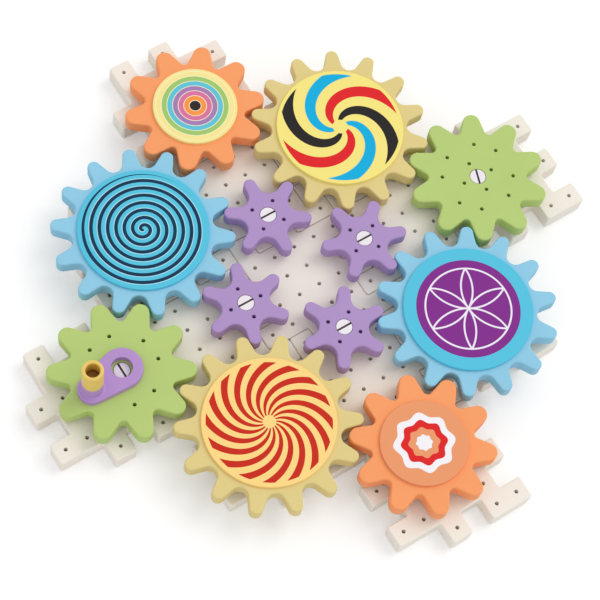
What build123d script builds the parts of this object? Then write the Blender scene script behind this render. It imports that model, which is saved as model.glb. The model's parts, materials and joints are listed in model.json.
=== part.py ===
from build123d import *

import os
from math import atan2, cos, degrees, hypot, radians, sin, sqrt, tan

# Crank gear toy: thirteen interlocking board tiles, twelve gears on plug-in
# axles, six printed discs and a hand crank. All lengths are in millimetres.
# +X is right and +Y is away on the board, +Z is up. The origin is the middle
# of the board's underside.

# ---- Driving dimensions -------------------------------------------------

# Peg lattice: every cell of the board carries one hole in its middle.
hole_pitch = 15.0
peg_hole_d = 2.6
peg_hole_depth = 8.5
peg_clearance = 0.05            # radial, peg in hole
peg_length = 7.5
peg_tip_chamfer = 0.4

# Board tiles
tile_body_cells = 4             # the square middle of a tile
tile_thickness = 13.0
tile_seam = 0.3                 # gap between two joined tiles
tile_corner_r = 1.5
tile_edge_r = 0.9

# Gears
gear_rise = 15.0                # gear top above the board top
axle_flange_t = 4.6
axial_play = 0.2
gear_edge_r = 1.1
big_teeth = 14
middle_teeth = 10
small_teeth = 6

# Axles
axle_post_d = 8.0
running_clearance = 0.05        # radial, gear on post and knob on pin
axle_flange_wall = 1.2          # flange beyond its pegs
axle_edge_chamfer = 0.5
screw_head_d = 10.4
screw_head_t = 3.0
screw_head_gap = 0.3            # radial, head in the gear's counterbore
screw_head_edge_r = 0.4
screw_shank_d = 4.0
screw_shank_length = 9.0
screw_hole_spare = 0.5          # hole left below the shank
fixed_fit = 0.03                # radial, parts that are pushed together to stay
slot_width = 1.4
slot_depth = 1.6

# Printed discs
disc_t = 2.0
big_disc_d = 84.0
small_disc_d = 55.5
disc_edge_r = 0.5
disc_peg_length = 6.0

# Crank
crank_arm_t = 5.0
crank_throw = 22.5              # axle to knob
crank_end_r = 9.3
crank_eye_d = 13.5              # hole that shows the axle screw
crank_ring_wall = 1.35          # ring beyond its pegs
crank_edge_r = 1.2
crank_boss_d = 13.0
crank_boss_h = 12.0
crank_boss_foot_r = 1.5
knob_d = 13.4
knob_h = 18.0
knob_bore_d = 8.8
knob_floor_t = 5.0
knob_edge_r = 0.9
knob_play = 0.2
pin_d = 4.4
pin_seat_depth = 10.0
pin_head_d = 8.0
pin_head_t = 2.0
pin_head_edge_r = 0.6

# ---- Derived sizes ------------------------------------------------------

board_top = tile_thickness
gear_bottom = board_top + axle_flange_t + axial_play
gear_top = board_top + gear_rise
gear_t = gear_top - gear_bottom
head_seat = gear_top - screw_head_t             # top of the axle post
counterbore_depth = screw_head_t + axial_play
peg_d = peg_hole_d - 2 * peg_clearance
peg_circle_r = hole_pitch / sqrt(2)             # four pegs about a cell corner
crank_ring_r = peg_circle_r + peg_d / 2 + crank_ring_wall
arm_top = gear_top + crank_arm_t
boss_top = arm_top + crank_boss_h
knob_bottom = boss_top + knob_play

# A big and a middle gear mesh five cells along and four cells across, which
# sets the module of the whole train.
module = hypot(5, 4) * hole_pitch / ((big_teeth + middle_teeth) / 2)

# ---- Layout -------------------------------------------------------------

# Cells that stick out of a tile's square middle, as (column, row) from the
# upper left corner of its 6 x 6 field. They fill the neighbours' gaps.
tile_tabs = [(1, 0), (3, 0), (0, 2), (0, 4), (5, 1), (5, 3), (2, 5), (4, 5), (5, 5)]
tile_step = 5 * hole_pitch

# Tile centres in tile steps: a three by three block with one more each way.
tile_places = {
    "tile_centre": (0, 0),
    "tile_north": (0, 1),
    "tile_east": (1, 0),
    "tile_south": (0, -1),
    "tile_west": (-1, 0),
    "tile_northeast": (1, 1),
    "tile_southeast": (1, -1),
    "tile_southwest": (-1, -1),
    "tile_northwest": (-1, 1),
    "tile_far_north": (0, 2),
    "tile_far_east": (2, 0),
    "tile_far_south": (0, -2),
    "tile_far_west": (-2, 0),
}

# Axle places in cells from the middle of the board.
big_seats = {
    "northwest": (-5, 5),
    "northeast": (5, 5),
    "southeast": (5, -5),
    "southwest": (-5, -5),
}
middle_seats = {
    "north": (0, 9),
    "east": (9, 0),
    "south": (0, -9),
    "west": (-9, 0),
}
small_seats = {
    "inner_north": (0, 3),
    "inner_east": (3, 0),
    "inner_south": (0, -3),
    "inner_west": (-3, 0),
}
gear_names = {
    "northwest": "blue_gear_northwest",
    "northeast": "yellow_gear_northeast",
    "southeast": "blue_gear_southeast",
    "southwest": "yellow_gear_southwest",
    "north": "orange_gear_north",
    "east": "green_gear_east",
    "south": "orange_gear_south",
    "west": "green_gear_west",
    "inner_north": "purple_gear_north",
    "inner_east": "purple_gear_east",
    "inner_south": "purple_gear_south",
    "inner_west": "purple_gear_west",
}
crank_seat = "west"

# Screw slots as they were left, in degrees from +X.
slot_angle = {"east": 70.0, "west": 90.0}

# Tooth forms in modules: how far the tips stand out of the pitch circle, the
# radius of the tip and of the valley, and the lean of each flank in degrees.
tooth_forms = {
    big_teeth: {"addendum": 0.347, "tip_r": 0.525, "valley_r": 0.70, "lean": 12.8},
    middle_teeth: {"addendum": 0.772, "tip_r": 0.722, "valley_r": 0.38, "lean": 16.7},
    small_teeth: {"addendum": 0.523, "tip_r": 0.506, "valley_r": 0.89, "lean": 3.4},
}

# Angle of one tooth of the north-west gear from the board's diagonal.
first_tooth = 11.0


def place(cells):
    """Position on the board of a point that is given in cells."""
    return cells[0] * hole_pitch, cells[1] * hole_pitch


def square_of_four(spacing):
    """Corners of a square with the given side, about its middle."""
    half = spacing / 2
    return [(half, half), (-half, half), (-half, -half), (half, -half)]


def meshing_phase(seat, seat_teeth, other, other_teeth, other_phase):
    """Tooth angle that centres this gear's gap on the other gear's tooth."""
    bearing = degrees(atan2(seat[1] - other[1], seat[0] - other[0]))
    other_turns = (bearing - other_phase) * other_teeth / 360
    return bearing + 180 - (0.5 - other_turns) * 360 / seat_teeth


def shared_phase(seat, seat_teeth):
    """Tooth angle halfway between what the two big neighbours ask for."""
    near = sorted(big_seats, key=lambda n: hypot(seat[0] - big_seats[n][0],
                                                 seat[1] - big_seats[n][1]))[:2]
    asked = [meshing_phase(seat, seat_teeth, big_seats[n], big_teeth, phases[n]) for n in near]
    tooth = 360 / seat_teeth
    apart = (asked[1] - asked[0] + tooth / 2) % tooth - tooth / 2
    return asked[0] + apart / 2


# Each big gear stands a quarter tooth on from the one before it, so that the
# ring of eight gears closes.
phases = {}
for count, (name, seat) in enumerate(big_seats.items()):
    diagonal = degrees(atan2(seat[1], seat[0]))
    phases[name] = diagonal + first_tooth + count * 360 / big_teeth / 4
for name, seat in middle_seats.items():
    phases[name] = shared_phase(seat, middle_teeth)
for name, seat in small_seats.items():
    phases[name] = shared_phase(seat, small_teeth)


def turned_plane(seat, height, angle):
    """Level plane at a seat, with its X axis turned to the given angle."""
    x, y = place(seat)
    direction = (cos(radians(angle)), sin(radians(angle)), 0)
    return Plane(origin=(x, y, height), x_dir=direction, z_dir=(0, 0, 1))


os.makedirs("parts", exist_ok=True)


# ---- Board --------------------------------------------------------------

def cell_centre(column, row):
    """Middle of a cell of a tile's 6 x 6 field, from the tile's middle."""
    return (column - 2.5) * hole_pitch, (2.5 - row) * hole_pitch


body_cells = [(column, row) for column in range(1, 1 + tile_body_cells)
              for row in range(1, 1 + tile_body_cells)]
cell_centres = [cell_centre(*cell) for cell in body_cells + tile_tabs]

for name, (steps_x, steps_y) in tile_places.items():
    middle = (steps_x * tile_step, steps_y * tile_step)
    with BuildPart() as tile:
        with BuildSketch(Plane(origin=(*middle, 0))) as outline:
            Rectangle(tile_body_cells * hole_pitch, tile_body_cells * hole_pitch)
            with Locations(*[cell_centre(*cell) for cell in tile_tabs]):
                Rectangle(hole_pitch, hole_pitch)
            offset(amount=-tile_seam / 2, kind=Kind.INTERSECTION)
            fillet(outline.vertices(), tile_corner_r)
        extrude(amount=tile_thickness)
        levels = tile.faces().filter_by(Axis.Z)
        fillet(levels.edges(), tile_edge_r)
        with Locations(Plane(origin=(*middle, board_top))):
            with Locations(*cell_centres):
                Hole(peg_hole_d / 2, peg_hole_depth)
    tile.part.label = name
    export_step(tile.part, f"parts/{name}.step")


# ---- Axles --------------------------------------------------------------

all_seats = {**big_seats, **middle_seats, **small_seats}

for name, seat in all_seats.items():
    with BuildPart() as base:
        with BuildSketch(turned_plane(seat, board_top, 0)):
            Circle(peg_circle_r + peg_d / 2 + axle_flange_wall)
        extrude(amount=axle_flange_t)
        chamfer(base.edges().filter_by(GeomType.CIRCLE), axle_edge_chamfer)
        with BuildSketch(turned_plane(seat, board_top + axle_flange_t, 0)):
            Circle(axle_post_d / 2)
        extrude(amount=head_seat - board_top - axle_flange_t)
        with BuildSketch(turned_plane(seat, board_top, 0)):
            with Locations(*square_of_four(hole_pitch)):
                Circle(peg_d / 2)
        extrude(amount=-peg_length)
        tips = base.faces().filter_by(Axis.Z).group_by(Axis.Z)[0]
        chamfer(tips.edges(), peg_tip_chamfer)
        with Locations(turned_plane(seat, head_seat, 0)):
            Hole(screw_shank_d / 2 + fixed_fit, screw_shank_length + screw_hole_spare)
    base.part.label = f"axle_base_{name}"
    export_step(base.part, f"parts/axle_base_{name}.step")

with BuildPart() as screws:
    for name, seat in all_seats.items():
        with BuildSketch(turned_plane(seat, head_seat, 0)):
            Circle(screw_head_d / 2)
        extrude(amount=screw_head_t)
        with BuildSketch(turned_plane(seat, head_seat, 0)):
            Circle(screw_shank_d / 2)
        extrude(amount=-screw_shank_length)
    rims = screws.faces().filter_by(Axis.Z).group_by(Axis.Z)[-1]
    fillet(rims.edges(), screw_head_edge_r)
    for name, seat in all_seats.items():
        with BuildSketch(turned_plane(seat, gear_top, slot_angle.get(name, 0.0))):
            Rectangle(2 * screw_head_d, slot_width)
        extrude(amount=-slot_depth, mode=Mode.SUBTRACT)
screws.part.label = "axle_screws"
export_step(screws.part, "parts/axle_screws.step")


# ---- Gears --------------------------------------------------------------

def tip_radius(teeth):
    """Outer radius of the gear with this many teeth."""
    return module * (teeth / 2 + tooth_forms[teeth]["addendum"])


# Peg holes of a gear: the same square lattice as on the board, about the axle.
inner_holes = square_of_four(hole_pitch)
outer_holes = [(x * hole_pitch, y * hole_pitch) for a, b in ((0.5, 1.5), (1.5, 0.5))
               for x in (-a, a) for y in (-b, b)]


def tooth_corners(teeth):
    """Corners of a gear's outline: flanks meet beyond each tip and below each valley."""
    form = tooth_forms[teeth]
    lean = radians(form["lean"])
    half_tooth = radians(180 / teeth)
    tip_r = form["tip_r"] * module
    at_axis = tip_r / cos(lean) + (tip_radius(teeth) - tip_r) * tan(lean)
    apex = at_axis / tan(lean)
    valley = at_axis / (tan(half_tooth) + tan(lean)) / cos(half_tooth)
    corners = []
    for tooth in range(teeth):
        angle = 2 * half_tooth * tooth
        corners.append((apex * cos(angle), apex * sin(angle)))
        corners.append((valley * cos(angle + half_tooth), valley * sin(angle + half_tooth)))
    return corners


def make_gear(name, seat, teeth, holes):
    """Gear with petal teeth, a running bore, a screw seat and peg holes."""
    form = tooth_forms[teeth]
    corner_radii = [form["tip_r"] * module, form["valley_r"] * module] * teeth
    with BuildPart() as gear:
        with BuildSketch(turned_plane(seat, gear_bottom, phases[name])):
            with BuildLine():
                FilletPolyline(*tooth_corners(teeth), radius=corner_radii, close=True)
            make_face()
        extrude(amount=gear_t)
        fillet(gear.faces().filter_by(Axis.Z).edges(), gear_edge_r)
        with Locations(turned_plane(seat, gear_top, phases[name])):
            CounterBoreHole(axle_post_d / 2 + running_clearance,
                            screw_head_d / 2 + screw_head_gap, counterbore_depth)
            with Locations(*holes):
                Hole(peg_hole_d / 2)
    gear.part.label = gear_names[name]
    export_step(gear.part, f"parts/{gear_names[name]}.step")


for name, seat in big_seats.items():
    make_gear(name, seat, big_teeth, inner_holes + outer_holes)
for name, seat in middle_seats.items():
    make_gear(name, seat, middle_teeth, inner_holes + outer_holes)
for name, seat in small_seats.items():
    make_gear(name, seat, small_teeth, inner_holes)


# ---- Printed discs ------------------------------------------------------

disc_sizes = {name: big_disc_d for name in big_seats}
disc_sizes.update({"north": small_disc_d, "south": small_disc_d})

for name, diameter in disc_sizes.items():
    seat = all_seats[name]
    with BuildPart() as disc:
        with BuildSketch(turned_plane(seat, gear_top, phases[name])):
            Circle(diameter / 2)
        extrude(amount=disc_t)
        fillet(disc.edges().group_by(Axis.Z)[-1], disc_edge_r)
        with BuildSketch(turned_plane(seat, gear_top, phases[name])):
            with Locations(*inner_holes):
                Circle(peg_d / 2)
        extrude(amount=-disc_peg_length)
        tips = disc.faces().filter_by(Axis.Z).group_by(Axis.Z)[0]
        chamfer(tips.edges(), peg_tip_chamfer)
    disc.part.label = f"disc_{name}"
    export_step(disc.part, f"parts/disc_{name}.step")


# ---- Crank --------------------------------------------------------------

# The arm runs out along the tooth that points away from the board's middle.
crank_middle = all_seats[crank_seat]
tooth_turn = 360 / middle_teeth
outward = degrees(atan2(crank_middle[1], crank_middle[0]))
crank_angle = phases[crank_seat] + round((outward - phases[crank_seat]) / tooth_turn) * tooth_turn

with BuildPart() as arm:
    with BuildSketch(turned_plane(crank_middle, gear_top, crank_angle)):
        with BuildLine():
            CenterArc((0, 0), crank_ring_r, 0, 360)
            CenterArc((crank_throw, 0), crank_end_r, 0, 360)
        make_hull()
    extrude(amount=crank_arm_t)
    fillet(arm.faces().sort_by(Axis.Z)[-1].edges(), crank_edge_r)
    with BuildSketch(turned_plane(crank_middle, arm_top, crank_angle)):
        with Locations((crank_throw, 0)):
            Circle(crank_boss_d / 2)
    extrude(amount=crank_boss_h)
    foot = arm.edges().filter_by(GeomType.CIRCLE).filter_by(
        lambda e: abs(e.radius - crank_boss_d / 2) < 0.01 and abs(e.center().Z - arm_top) < 0.01)
    fillet(foot, crank_boss_foot_r)
    with BuildSketch(turned_plane(crank_middle, gear_top, crank_angle)):
        Circle(crank_eye_d / 2)
    extrude(amount=crank_arm_t, mode=Mode.SUBTRACT)
    with BuildSketch(turned_plane(crank_middle, gear_top, phases[crank_seat])):
        with Locations(*inner_holes):
            Circle(peg_d / 2)
    extrude(amount=-disc_peg_length)
    tips = arm.faces().filter_by(Axis.Z).group_by(Axis.Z)[0]
    chamfer(tips.edges(), peg_tip_chamfer)
    with Locations(turned_plane(crank_middle, boss_top, crank_angle)):
        with Locations((crank_throw, 0)):
            Hole(pin_d / 2 + fixed_fit, pin_seat_depth)
arm.part.label = "crank_arm"
export_step(arm.part, "parts/crank_arm.step")

knob_floor_top = knob_bottom + knob_floor_t
pin_head_bottom = knob_floor_top + knob_play

with BuildPart() as pin:
    with BuildSketch(turned_plane(crank_middle, boss_top - pin_seat_depth, crank_angle)):
        with Locations((crank_throw, 0)):
            Circle(pin_d / 2)
    extrude(amount=pin_head_bottom - boss_top + pin_seat_depth)
    with BuildSketch(turned_plane(crank_middle, pin_head_bottom, crank_angle)):
        with Locations((crank_throw, 0)):
            Circle(pin_head_d / 2)
    extrude(amount=pin_head_t)
    fillet(pin.edges().group_by(Axis.Z)[-1], pin_head_edge_r)
pin.part.label = "crank_pin"
export_step(pin.part, "parts/crank_pin.step")

with BuildPart() as knob:
    with BuildSketch(turned_plane(crank_middle, knob_bottom, crank_angle)):
        with Locations((crank_throw, 0)):
            Circle(knob_d / 2)
    extrude(amount=knob_h)
    with Locations(turned_plane(crank_middle, knob_bottom + knob_h, crank_angle)):
        with Locations((crank_throw, 0)):
            CounterBoreHole(pin_d / 2 + running_clearance, knob_bore_d / 2, knob_h - knob_floor_t)
    fillet(knob.edges().group_by(Axis.Z)[-1], knob_edge_r)
knob.part.label = "crank_knob"
export_step(knob.part, "parts/crank_knob.step")
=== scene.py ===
# %% [markdown]
# # A crank gear toy, dressed for the camera
# The solids already carry every real shape: tiles, gears, axles, discs and the crank. What is left
# is light, a camera and the finish of each surface. All lengths here are in metres.

# %% Load the solids
import bpy
import json
from math import pi, radians
from mathutils import Matrix, Vector


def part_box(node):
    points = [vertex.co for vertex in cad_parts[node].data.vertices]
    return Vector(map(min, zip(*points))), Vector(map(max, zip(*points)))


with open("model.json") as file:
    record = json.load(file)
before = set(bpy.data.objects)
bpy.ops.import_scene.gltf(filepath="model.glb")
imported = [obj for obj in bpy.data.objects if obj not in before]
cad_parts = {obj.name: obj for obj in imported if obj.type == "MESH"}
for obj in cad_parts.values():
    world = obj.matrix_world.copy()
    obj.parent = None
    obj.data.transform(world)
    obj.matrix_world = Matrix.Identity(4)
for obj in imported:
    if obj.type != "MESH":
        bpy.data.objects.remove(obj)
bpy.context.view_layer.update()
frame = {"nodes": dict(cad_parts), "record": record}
toy = frame["nodes"]

# %% [markdown]
# ## Camera
# A camera can be placed by hand until it looks right, or set from a known place and direction. Here
# the place was worked out from the lattice of the board, so three directions are enough: where it
# looks, what is right and what is up. A camera looks along its own -Z.

# %% Camera
eye = Vector((-0.36498, -0.35073, 1.10962))
looks = Vector((0.29574, 0.28271, -0.91248))
rightward = Vector((0.83718, -0.53675, 0.10503))
upward = Vector((0.46008, 0.79497, 0.39542))

camera_data = bpy.data.cameras.new("camera")
camera_data.lens = 112.84
camera_data.sensor_width = 36.0
camera = bpy.data.objects.new("camera", camera_data)
turn = Matrix((rightward, upward, -looks)).transposed().to_4x4()
camera.matrix_world = Matrix.Translation(eye) @ turn
bpy.context.scene.collection.objects.link(camera)
bpy.context.scene.camera = camera
print("camera", round(eye.length, 3), "m from the middle of the board")

# %% [markdown]
# ## Node arithmetic
# The light, the floor and every finish here are small graphs of nodes, and most of those nodes only
# do sums. A helper that adds one node and hands back its output lets a graph be written like a
# formula. The second helper picks out the rays that show the studio itself: those of the camera,
# of reflections and of anything seen through clear pieces.

# %% Node arithmetic
def calc(tree, operation, first, second=None):
    """One arithmetic node; each input is a socket or a number."""
    node = tree.nodes.new("ShaderNodeMath")
    node.operation = operation
    for place, value in enumerate((first, second)):
        if value is None:
            continue
        if isinstance(value, (int, float)):
            node.inputs[place].default_value = value
        else:
            tree.links.new(value, node.inputs[place])
    return node.outputs[0]


def looked_at(tree):
    """1 for rays that show the studio itself, 0 for rays that light the toy."""
    path = tree.nodes.new("ShaderNodeLightPath").outputs
    mirrored = calc(tree, "MAXIMUM", path["Is Glossy Ray"], path["Is Transmission Ray"])
    return calc(tree, "MAXIMUM", path["Is Camera Ray"], mirrored)


print("arithmetic ready")

# %% [markdown]
# ## Light
# The toy lies in a white studio sweep with soft shadows that fall to the left. An even white sky
# gives the softness. One wide sun from the right gives the shadow its direction. Together they
# bring about as much light as a surface needs to show its colour as written. That leaves the sky
# itself a little below white, so the rays that show it get some extra, and the toy does not.

# %% Sky
scene = bpy.context.scene
scene.view_settings.view_transform = "Standard"

sky_on_toy = 0.80
extra_when_seen = 0.20

sky = bpy.data.worlds.new("studio")
scene.world = sky
sky.use_nodes = True
sky_tree = sky.node_tree
backdrop = sky_tree.nodes["Background"]
backdrop.inputs["Color"].default_value = (1, 1, 1, 1)
added = calc(sky_tree, "MULTIPLY", looked_at(sky_tree), extra_when_seen)
sky_tree.links.new(calc(sky_tree, "ADD", added, sky_on_toy), backdrop.inputs["Strength"])
print("sky", sky_on_toy, "on the toy and", sky_on_toy + extra_when_seen, "behind it")

# %% Sun
sun_data = bpy.data.lights.new("soft_sun", "SUN")
sun_data.energy = 0.80
sun_data.angle = radians(38)
sun = bpy.data.objects.new("soft_sun", sun_data)
from_the_right = Vector((0.82, -0.05, 1.05)).normalized()
sun.rotation_euler = (-from_the_right).to_track_quat("-Z", "Y").to_euler()
scene.collection.objects.link(sun)
print("sun", round(sun_data.energy, 2))

# %% [markdown]
# ## Colour
# Colours are easiest to read as 0 to 255, but the renderer works in linear light, where half as
# bright to the eye is about a fifth of the light. One helper turns the first into the second. A
# second one lays a colour over another where a mask says so, as a printer does with inks.

# %% Colour
def tone(red, green, blue):
    """Linear colour of a display colour written as 0 to 255."""
    def linear(v):
        v /= 255
        return v / 12.92 if v <= 0.04045 else ((v + 0.055) / 1.055) ** 2.4
    return linear(red), linear(green), linear(blue), 1.0


print("mid grey is", round(tone(128, 128, 128)[0], 3), "in linear light")

# %% Layers of colour
def lay_over(tree, mask, under, over):
    """Colour 'over' where the mask is 1 and 'under' where it is 0."""
    node = tree.nodes.new("ShaderNodeMix")
    node.data_type = "RGBA"
    colour_inputs = [s for s in node.inputs if s.type == "RGBA"]
    tree.links.new(mask, node.inputs[0])
    for socket, value in zip(colour_inputs, (under, over)):
        if isinstance(value, tuple):
            socket.default_value = value
        else:
            tree.links.new(value, socket)
    return next(s for s in node.outputs if s.type == "RGBA")


print("layers ready")

# %% [markdown]
# ## What every finish shares
# No real surface is perfectly even. Each finish gets the same three small faults, in its own
# strength: a gloss that varies in soft clouds, a fine raised texture, and a colour that drifts a
# little in broad patches. All three follow the piece's own coordinates, so they turn with a gear.

# %% Start of a finish
def fresh_material(name):
    """Material with its graph, shader and the piece's own coordinates."""
    material = bpy.data.materials.new(name)
    material.use_nodes = True
    tree = material.node_tree
    where = tree.nodes.new("ShaderNodeTexCoord").outputs["Object"]
    return material, tree, tree.nodes["Principled BSDF"], where


def speckle(tree, where, features_per_m, detail=3.0):
    """Cloudy value from 0 to 1 with about this many features to a metre."""
    noise = tree.nodes.new("ShaderNodeTexNoise")
    noise.inputs["Scale"].default_value = features_per_m
    noise.inputs["Detail"].default_value = detail
    tree.links.new(where, noise.inputs["Vector"])
    return noise.outputs["Fac"]


print("speckle ready")

# %% Gloss, texture and drift
gloss_clouds_per_m = 120
colour_clouds_per_m = 35


def skin(tree, shader, where, rough, rough_spread, grain_per_m, height):
    """Uneven gloss and a fine raised texture of the given height."""
    cloud = speckle(tree, where, gloss_clouds_per_m)
    spread = calc(tree, "MULTIPLY", calc(tree, "SUBTRACT", cloud, 0.5), rough_spread)
    tree.links.new(calc(tree, "ADD", spread, rough), shader.inputs["Roughness"])
    bump = tree.nodes.new("ShaderNodeBump")
    bump.inputs["Strength"].default_value = 0.5
    bump.inputs["Distance"].default_value = height
    tree.links.new(speckle(tree, where, grain_per_m), bump.inputs["Height"])
    tree.links.new(bump.outputs["Normal"], shader.inputs["Normal"])


def colour_drift(tree, where, colour, amount):
    """The colour, slightly darker in broad soft patches."""
    darker = tuple(v * (1 - amount) for v in colour[:3]) + (1.0,)
    return lay_over(tree, speckle(tree, where, colour_clouds_per_m, 2.0), darker, colour)


print("finish helpers ready")

# %% [markdown]
# ## Painted gears and tiles
# Gears and tiles have a flat, opaque, matt colour with no grain showing. Up close such paint is
# never quite even: it dries in shallow dimples, like fine orange peel, and it is a touch deeper in
# broad patches. Both are kept faint, because from here the toy reads as plain colour. The tiles are
# written a little lighter than they look, because the gears around shade them.

# %% Paint
def matt_paint(name, colour, drift=0.07):
    """Opaque matt paint with faint orange peel."""
    material, tree, shader, where = fresh_material(name)
    tree.links.new(colour_drift(tree, where, colour, drift), shader.inputs["Base Color"])
    shader.inputs["Specular IOR Level"].default_value = 0.35
    skin(tree, shader, where, rough=0.62, rough_spread=0.16, grain_per_m=900, height=0.00006)
    return material


finishes = {
    "board_cream": matt_paint("board_cream", tone(246, 239, 228), 0.05),
    "paint_blue": matt_paint("paint_blue", tone(145, 205, 232)),
    "paint_yellow": matt_paint("paint_yellow", tone(228, 208, 138)),
    "paint_orange": matt_paint("paint_orange", tone(252, 160, 100)),
    "paint_green": matt_paint("paint_green", tone(184, 208, 120)),
    "paint_purple": matt_paint("paint_purple", tone(176, 146, 200)),
}
print("paints:", ", ".join(finishes))

# %% [markdown]
# ## Moulded pieces
# The crank, its knob and the axle heads look moulded: smoother than paint and a little shinier,
# with a very fine even texture left by the mould. The same helpers make it, with finer grain.

# %% Moulded finish
def moulded(name, colour, rough=0.42):
    """Satin moulded surface."""
    material, tree, shader, where = fresh_material(name)
    tree.links.new(colour_drift(tree, where, colour, 0.04), shader.inputs["Base Color"])
    shader.inputs["Specular IOR Level"].default_value = 0.5
    skin(tree, shader, where, rough, rough_spread=0.10, grain_per_m=2200, height=0.00002)
    return material


off_white = tone(238, 232, 238)
axle_rough = 0.40
finishes["axle_white"] = moulded("axle_white", off_white, axle_rough)
finishes["crank_lilac"] = moulded("crank_lilac", tone(180, 140, 205))
finishes["knob_yellow"] = moulded("knob_yellow", tone(235, 200, 100))
finishes["pin_ochre"] = moulded("pin_ochre", tone(150, 105, 10))
print("moulded: axle_white, crank_lilac, knob_yellow, pin_ochre")

# %% [markdown]
# ## Screw heads
# Each axle ends in a white head with a slot. Hardly any light reaches the floor of a slot that
# narrow, so it reads as a dark line. The same moulded finish is used, and everything lower than the
# top of the heads is painted darker, as painted shade that keeps that line plain from every side.

# %% Slotted heads
def white_with_painted_slot_shade(name, top_of_heads, shade_starts_below):
    """Moulded white with painted shade below the top of the heads."""
    material = moulded(name, off_white, axle_rough)
    tree = material.node_tree
    shader = tree.nodes["Principled BSDF"]
    unshaded_white = shader.inputs["Base Color"].links[0].from_socket
    parts = tree.nodes.new("ShaderNodeSeparateXYZ")
    where = next(n for n in tree.nodes if n.type == "TEX_COORD").outputs["Object"]
    tree.links.new(where, parts.inputs[0])
    # Painted shade: every part of the heads lower than their top, the slot floor included, turns
    # dark grey.
    low = calc(tree, "LESS_THAN", parts.outputs[2], top_of_heads - shade_starts_below)
    tree.links.new(lay_over(tree, low, unshaded_white, tone(92, 82, 84)), shader.inputs["Base Color"])
    return material


heads_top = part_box("axle_screws")[1][2]
# The slots of the screw heads get painted shade from 0.6 mm below the top of the heads.
screw_finish = white_with_painted_slot_shade("axle_white_painted_slot_shade", heads_top, 0.0006)
print("heads end", round(heads_top * 1000, 1), "mm up")

# %% [markdown]
# ## Printed discs
# Six gears carry a printed disc. A print could be a picture wrapped on the disc, but a pattern that
# follows a rule is sharper when the shader works it out. Each pattern here needs two numbers for a
# point on the disc: its distance from the axle, where 1 is the rim, and its turn round the axle,
# where 1 is a full circle. The patterns are plain geometry: spirals, rays, rings and a rosette. Each
# takes the same four values, whether it needs them all or not, so one call can print any of them.

# %% Distance and turn on a disc
def disc_circle(node):
    """Middle and radius of a disc, from its box."""
    low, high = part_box(node)
    return (low[0] + high[0]) / 2, (low[1] + high[1]) / 2, (high[0] - low[0]) / 2


def from_middle(tree, x, y):
    """Distance of the point x, y from the middle."""
    squares = calc(tree, "ADD", calc(tree, "MULTIPLY", x, x), calc(tree, "MULTIPLY", y, y))
    return calc(tree, "SQRT", squares)


def round_the_axle(tree, where, middle_x, middle_y, rim):
    """Sockets for x, y, distance (1 at the rim) and turn (0 to 1)."""
    parts = tree.nodes.new("ShaderNodeSeparateXYZ")
    tree.links.new(where, parts.inputs[0])
    x = calc(tree, "DIVIDE", calc(tree, "SUBTRACT", parts.outputs[0], middle_x), rim)
    y = calc(tree, "DIVIDE", calc(tree, "SUBTRACT", parts.outputs[1], middle_y), rim)
    distance = from_middle(tree, x, y)
    full_turns = calc(tree, "DIVIDE", calc(tree, "ARCTAN2", y, x), 2 * pi)
    return x, y, distance, calc(tree, "ADD", full_turns, 0.5)


for node in sorted(n for n in toy if n.startswith("disc_")):
    print(node, "middle and radius in mm:", [round(v * 1000, 1) for v in disc_circle(node)])

# %% Stripes and edges
def stripe(tree, turned, arms, distance, twist):
    """Value that runs 0 to 1 across each arm of a spiral."""
    wound = calc(tree, "ADD", calc(tree, "MULTIPLY", turned, arms),
                 calc(tree, "MULTIPLY", distance, twist))
    return calc(tree, "FRACT", wound)


def inside(tree, value, limit):
    """1 where the value is less than the limit."""
    return calc(tree, "LESS_THAN", value, limit)


def on_line(tree, value, line, half_width):
    """1 within half a line's width of the line."""
    return inside(tree, calc(tree, "ABSOLUTE", calc(tree, "SUBTRACT", value, line)), half_width)


print("stripes and edges ready")

# %% Inks that more than one print uses
cyan = tone(85, 195, 224)
lemon = tone(247, 230, 130)
straw = tone(253, 216, 135)
apricot = tone(236, 155, 108)
paper_white = tone(246, 242, 246)
print("five shared inks")

# %% [markdown]
# ## Spiral
# One big blue gear is printed with a dark spiral. Drawn as a curve it would need hundreds of points.
# As a rule it needs one: going once round moves the line one winding outward.

# %% Spiral, navy on cyan
def blue_spiral(tree, x, y, distance, turned):
    windings = 8.0
    across = stripe(tree, turned, 1, distance, windings)
    pale = lay_over(tree, inside(tree, across, 0.54), cyan, tone(170, 226, 240))
    lines = lay_over(tree, inside(tree, across, 0.44), pale, tone(10, 50, 80))
    return lay_over(tree, inside(tree, distance, 0.93), cyan, lines)


print("one arm, eight windings")

# %% [markdown]
# ## Pinwheel
# A big yellow gear carries bold curved blades. They are a spiral too, with little twist and several
# arms: two arms of three blades each give every colour twice.

# %% Pinwheel of six curved blades
def pinwheel(tree, x, y, distance, turned):
    blades_per_arm = 3.0
    across = calc(tree, "MULTIPLY", stripe(tree, turned, 2, distance, 0.8), blades_per_arm)
    blade = inside(tree, calc(tree, "FRACT", across), 0.5)
    red_or_black = lay_over(tree, inside(tree, across, 2.0), tone(224, 32, 38), tone(32, 28, 28))
    colours = lay_over(tree, inside(tree, across, 1.0), red_or_black, tone(0, 174, 222))
    blades = lay_over(tree, blade, lemon, colours)
    ringed = lay_over(tree, inside(tree, distance, 0.12), blades, lemon)
    return lay_over(tree, inside(tree, distance, 0.94), lemon, ringed)


print("six blades in three colours")

# %% [markdown]
# ## Rosette
# The other big blue gear has fine white lines on violet. A compass rosette suits that: six circles,
# each through the middle, with their centres on a seventh. Only the arcs inside the seventh show.

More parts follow.
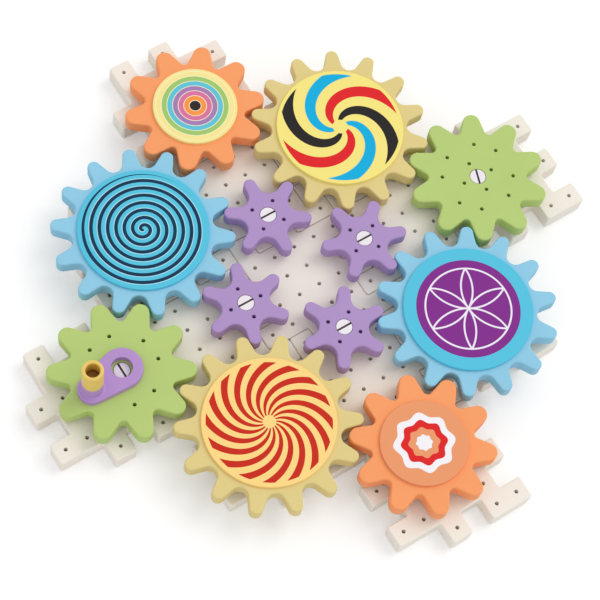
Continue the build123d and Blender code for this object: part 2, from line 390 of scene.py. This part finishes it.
# %% Compass rosette, white on violet
def rosette(tree, x, y, distance, turned):
    reach, half_line = 0.66, 0.014
    drawn = None
    for point in range(6):
        away = Vector((reach, 0)).to_3d()
        away.rotate(Matrix.Rotation(point * pi / 3, 3, "Z"))
        dx, dy = calc(tree, "SUBTRACT", x, away.x), calc(tree, "SUBTRACT", y, away.y)
        arc = on_line(tree, from_middle(tree, dx, dy), reach, half_line)
        drawn = arc if drawn is None else calc(tree, "MAXIMUM", drawn, arc)
    ring = on_line(tree, distance, reach, half_line)
    arcs = calc(tree, "MULTIPLY", drawn, inside(tree, distance, reach))
    lines = calc(tree, "MAXIMUM", arcs, ring)
    field = lay_over(tree, lines, tone(130, 42, 140), tone(240, 234, 246))
    return lay_over(tree, inside(tree, distance, 0.80), cyan, field)


print("six arcs and their circle")

# %% [markdown]
# ## Rays
# The other big yellow gear is red and straw in thin curved bands. Sixteen arms with some twist give
# bands of the same scale.

# %% Curved rays, red on straw
def red_rays(tree, x, y, distance, turned):
    arms, twist = 16, 4.0
    ray = inside(tree, stripe(tree, turned, arms, distance, twist), 0.5)
    rays = lay_over(tree, ray, straw, tone(200, 40, 20))
    hub = lay_over(tree, inside(tree, distance, 0.10), rays, straw)
    return lay_over(tree, inside(tree, distance, 0.93), straw, hub)


print("sixteen rays")

# %% [markdown]
# ## Rings
# The disc on the north gear is a target of many colours. Each ring is a smaller circle laid over the
# last, as with stacked paper, and a thin pale line marks where each begins.

# %% Even rings in seven colours
def rainbow_rings(tree, x, y, distance, turned):
    bands = [tone(40, 34, 34), tone(250, 150, 70), tone(218, 115, 160), tone(165, 125, 180),
             tone(95, 195, 215), tone(160, 200, 110), tone(247, 230, 150)]
    bands_to_rim = 7.6
    colour = bands[-1]
    for place in reversed(range(len(bands) - 1)):
        edge = (place + 1) / bands_to_rim
        colour = lay_over(tree, inside(tree, distance, edge), colour, bands[place])
    rule = inside(tree, calc(tree, "FRACT", calc(tree, "MULTIPLY", distance, bands_to_rim)), 0.12)
    outside_dot = calc(tree, "GREATER_THAN", distance, 0.10)
    rule_off_dot = calc(tree, "MULTIPLY", rule, outside_dot)
    ruled = calc(tree, "MULTIPLY", rule_off_dot, inside(tree, distance, 0.94))
    return lay_over(tree, ruled, colour, tone(250, 242, 205))


print("seven bands")

# %% [markdown]
# ## Scallops
# The disc on the south gear is orange with red and white in its middle. Stretching the distance by a
# wave that repeats eight times a turn makes plain circles come out scalloped.

# %% Scalloped rings, white and red on orange
def scallops(tree, x, y, distance, turned):
    waves_per_turn, wave_height = 8, 0.07
    wave = calc(tree, "COSINE", calc(tree, "MULTIPLY", turned, 2 * pi * waves_per_turn))
    stretch = calc(tree, "ADD", calc(tree, "MULTIPLY", wave, wave_height), 1.0)
    waved = calc(tree, "MULTIPLY", distance, stretch)
    colour = apricot
    for limit, layer in ((0.66, paper_white), (0.50, tone(222, 32, 34)),
                         (0.34, apricot), (0.18, paper_white)):
        colour = lay_over(tree, inside(tree, waved, limit), colour, layer)
    return colour


print("eight scallops")

# %% [markdown]
# ## Printing
# The printed faces hardly shine, so they get less shine than the paint, and a texture too fine to
# see from here. Every disc gets that same surface, and only the pattern changes.

# %% Print the discs
def printed(slot, node, pattern):
    """Matt printed face with the given pattern, centred on the node."""
    material, tree, shader, where = fresh_material(slot)
    sockets = round_the_axle(tree, where, *disc_circle(node))
    tree.links.new(pattern(tree, *sockets), shader.inputs["Base Color"])
    shader.inputs["Specular IOR Level"].default_value = 0.18
    skin(tree, shader, where, rough=0.58, rough_spread=0.12, grain_per_m=1600, height=0.00002)
    return material


prints = {
    "print_blue_spiral": ("disc_northwest", blue_spiral),
    "print_pinwheel": ("disc_northeast", pinwheel),
    "print_rosette": ("disc_southeast", rosette),
    "print_red_swirl": ("disc_southwest", red_rays),
    "print_rainbow_rings": ("disc_north", rainbow_rings),
    "print_scallops": ("disc_south", scallops),
}
for slot, (node, pattern) in prints.items():
    finishes[slot] = printed(slot, node, pattern)
print("printed", len(prints), "discs")

# %% [markdown]
# ## Dressing the pieces
# The record says which finish each piece takes, so no piece has to be named twice. A piece without
# a finish would stay plain, so the count is printed.

# %% Give each piece its finish
dressed = 0
for part in frame["record"]["subparts"]:
    piece = toy[part["node"]]
    piece.data.materials.clear()
    # The screw heads take the white with painted slot shade instead of the plain white of their
    # slot.
    slotted = part["node"] == "axle_screws"
    piece.data.materials.append(screw_finish if slotted else finishes[part["material_slot"]])
    dressed += 1
print("dressed", dressed, "of", len(toy), "pieces in", len(finishes), "finishes")

# %% [markdown]
# ## Floor
# The sweep is plain white paper. A little light of its own is added for the same rays that see the
# backdrop as white. It lifts the paper to white and leaves the toy's soft shadow on it. From a low
# camera the far edge of a small floor would show, so this one runs out to where it can't be told
# from the backdrop.

# %% Floor
half_side = 60.0
hair_below_toy = 0.0002
corners = [(-half_side, -half_side, 0), (half_side, -half_side, 0),
           (half_side, half_side, 0), (-half_side, half_side, 0)]

floor_mesh = bpy.data.meshes.new("floor")
floor_mesh.from_pydata(corners, [], [(0, 1, 2, 3)])
floor = bpy.data.objects.new("floor", floor_mesh)
floor.location.z = -hair_below_toy
scene.collection.objects.link(floor)
print("floor", 2 * half_side, "m square")

# %% White paper
paper = bpy.data.materials.new("white_paper")
paper.use_nodes = True
tree = paper.node_tree
tree.nodes.remove(tree.nodes["Principled BSDF"])
lit = tree.nodes.new("ShaderNodeBsdfDiffuse")
lit.inputs["Color"].default_value = (0.86, 0.86, 0.86, 1)
glow = tree.nodes.new("ShaderNodeEmission")
both = tree.nodes.new("ShaderNodeAddShader")
tree.links.new(calc(tree, "MULTIPLY", looked_at(tree), extra_when_seen), glow.inputs["Strength"])
tree.links.new(lit.outputs[0], both.inputs[0])
tree.links.new(glow.outputs[0], both.inputs[1])
tree.links.new(both.outputs[0], tree.nodes["Material Output"].inputs["Surface"])
floor_mesh.materials.append(paper)
print("paper reflects", round(lit.inputs["Color"].default_value[0], 2))
